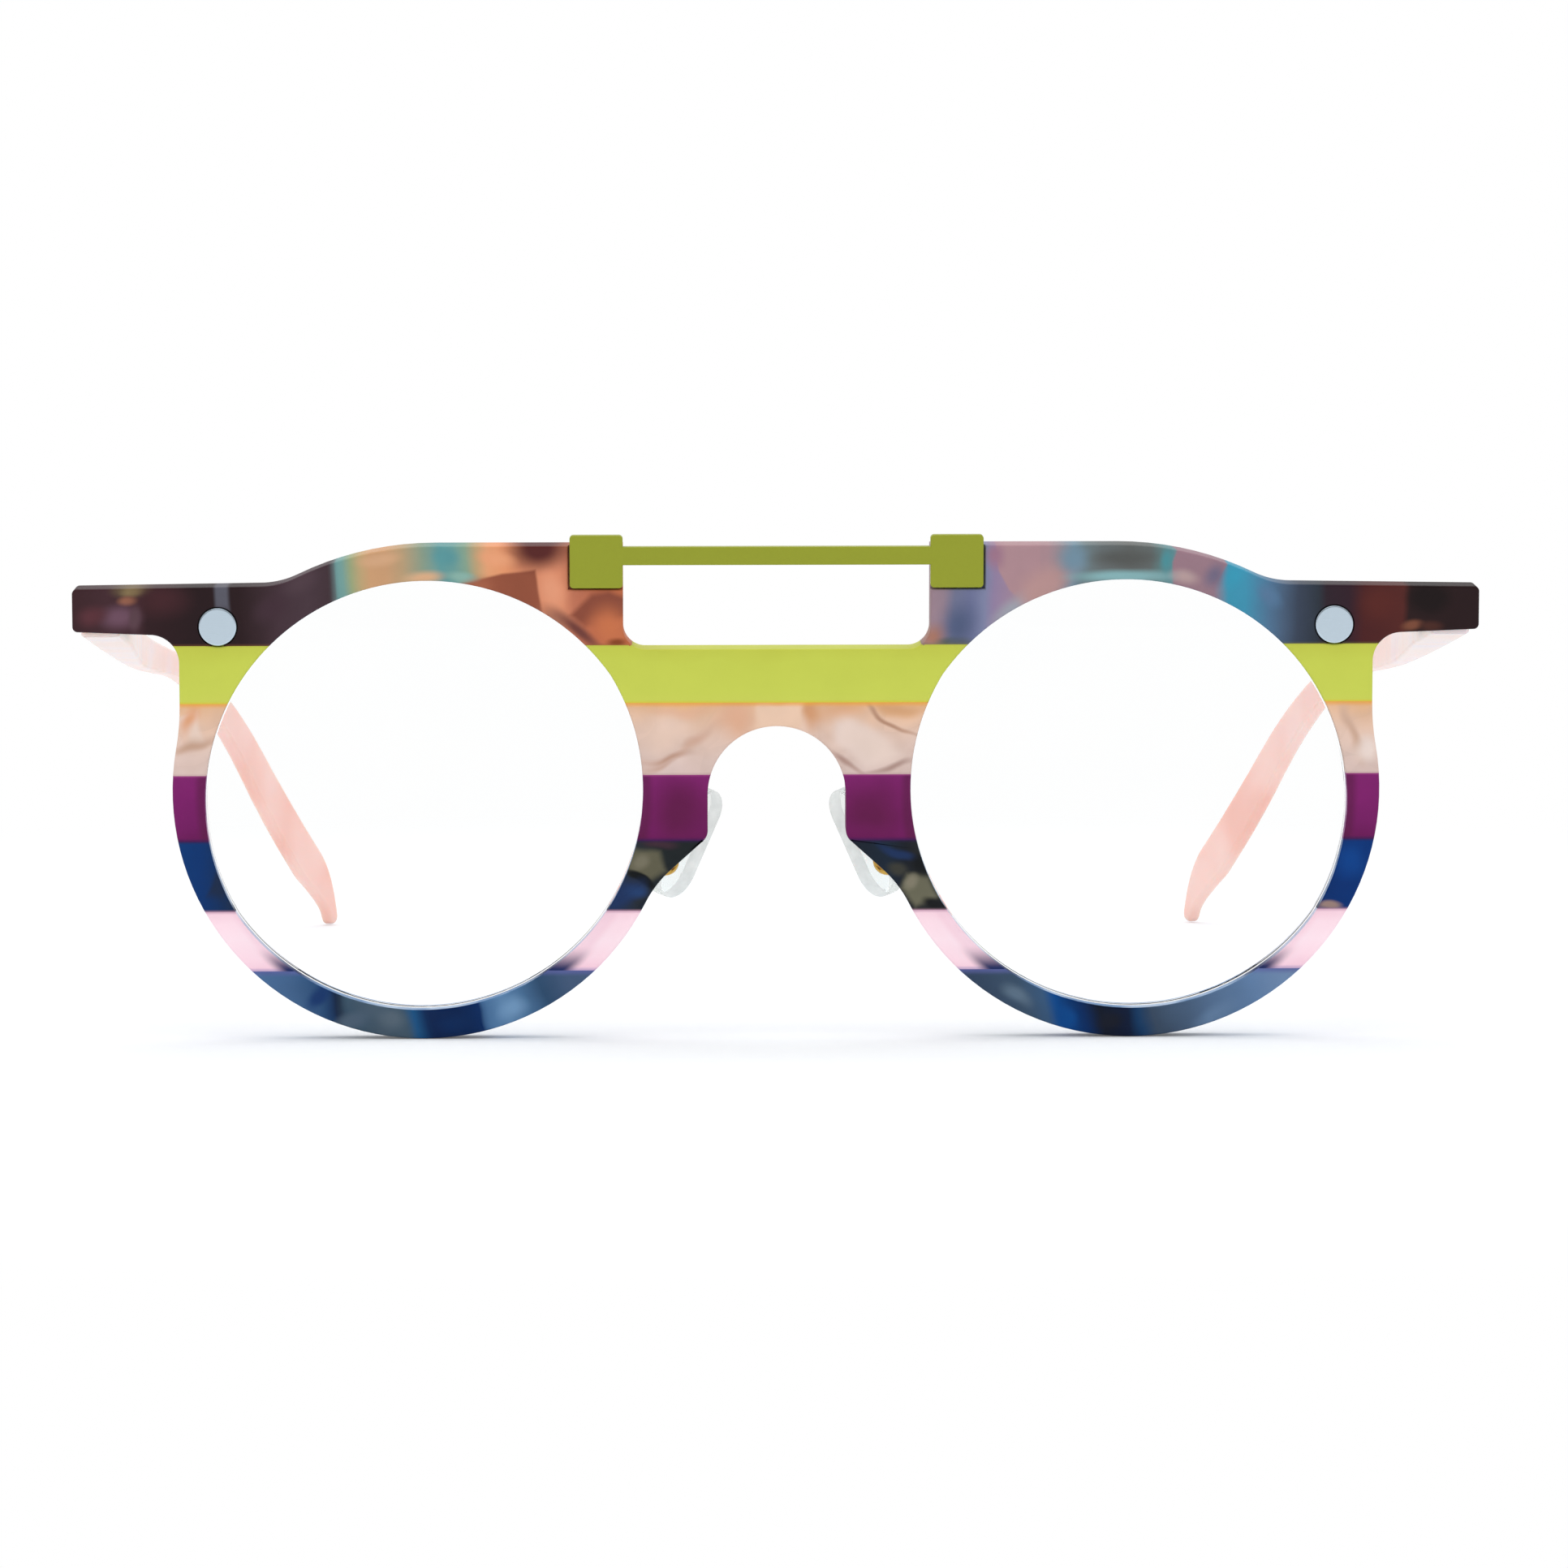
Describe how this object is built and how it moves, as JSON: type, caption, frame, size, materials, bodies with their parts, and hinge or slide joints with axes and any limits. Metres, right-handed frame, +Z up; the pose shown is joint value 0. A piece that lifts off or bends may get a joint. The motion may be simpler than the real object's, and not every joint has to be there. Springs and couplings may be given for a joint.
{
  "type": "eyeglasses",
  "caption": "Round eyeglasses with a flat front of stacked coloured sheets, a metal top bar, slim folding temples and rocking clear nose pads.",
  "frame": {"origin": "on the ground plane, at the middle of the glasses left to right and front to back, temples open", "axes": "+X to the viewer's right, -Y towards the viewer who faces the front, +Z up; the wearer's left is at +X"},
  "size_m": [0.146, 0.1442, 0.0528],
  "materials": {
    "tortoise_acetate_warm": "polished",
    "tortoise_acetate_cool": "polished",
    "lime_acetate": "polished",
    "marble_acetate": "polished",
    "plum_acetate": "polished",
    "navy_acetate": "polished",
    "blush_acetate": "polished",
    "slate_acetate": "polished",
    "rose_acetate": "polished, translucent",
    "olive_metal": "satin",
    "clear_lens": "polished, clear",
    "satin_steel": "satin",
    "core_steel": "satin",
    "gold_metal": "polished",
    "clear_silicone": "soft, clear"
  },
  "bodies": {
    "front": {"brow_left": "tortoise_acetate_warm", "brow_right": "tortoise_acetate_cool", "lime_outer_left": "lime_acetate", "lime_bridge": "lime_acetate", "lime_outer_right": "lime_acetate", "marble_outer_left": "marble_acetate", "marble_bridge": "marble_acetate", "marble_outer_right": "marble_acetate", "plum_outer_left": "plum_acetate", "plum_inner_left": "plum_acetate", "plum_inner_right": "plum_acetate", "plum_outer_right": "plum_acetate", "navy_outer_left": "navy_acetate", "navy_inner_left": "navy_acetate", "navy_inner_right": "navy_acetate", "navy_outer_right": "navy_acetate", "blush_outer_left": "blush_acetate", "blush_inner_left": "blush_acetate", "blush_inner_right": "blush_acetate", "blush_outer_right": "blush_acetate", "slate_left": "slate_acetate", "slate_right": "slate_acetate", "top_bar": "olive_metal", "bar_screw_left": "satin_steel", "bar_screw_right": "satin_steel", "lens_left": "clear_lens", "lens_right": "clear_lens", "front_rivet_left": "satin_steel", "front_rivet_right": "satin_steel", "front_hinge_left": "gold_metal", "front_hinge_right": "gold_metal", "hinge_screw_left": "satin_steel", "hinge_screw_right": "satin_steel", "pad_arm_left": "gold_metal", "pad_arm_right": "gold_metal", "pad_screw_left": "gold_metal", "pad_screw_right": "gold_metal"},
    "temple_left": {"temple_hinge_left": "gold_metal", "temple_left": "rose_acetate", "core_wire_left": "core_steel", "temple_rivet_fore_left": "satin_steel", "temple_rivet_aft_left": "satin_steel"},
    "temple_right": {"temple_hinge_right": "gold_metal", "temple_right": "rose_acetate", "core_wire_right": "core_steel", "temple_rivet_fore_right": "satin_steel", "temple_rivet_aft_right": "satin_steel"},
    "nose_pad_left": {"nose_pad_left": "clear_silicone"},
    "nose_pad_right": {"nose_pad_right": "clear_silicone"}
  },
  "joints": [
    {"name": "temple_fold_left", "type": "hinge", "parent": "front", "child": "temple_left", "pos_m": [-0.066, -0.06481, 0.04485], "axis": [0, 0.0732, -0.9973], "range_deg": [0, 84]},
    {"name": "temple_fold_right", "type": "hinge", "parent": "front", "child": "temple_right", "pos_m": [0.066, -0.06481, 0.04485], "axis": [0, -0.0732, 0.9973], "range_deg": [0, 78]},
    {"name": "nose_pad_rock_left", "type": "hinge", "parent": "front", "child": "nose_pad_left", "pos_m": [-0.0114, -0.06094, 0.02087], "axis": [0.4183, -0.865, -0.2772], "range_deg": [-10, 10]},
    {"name": "nose_pad_rock_right", "type": "hinge", "parent": "front", "child": "nose_pad_right", "pos_m": [0.0114, -0.06094, 0.02087], "axis": [0.4183, 0.865, 0.2772], "range_deg": [-10, 10]}
  ]
}
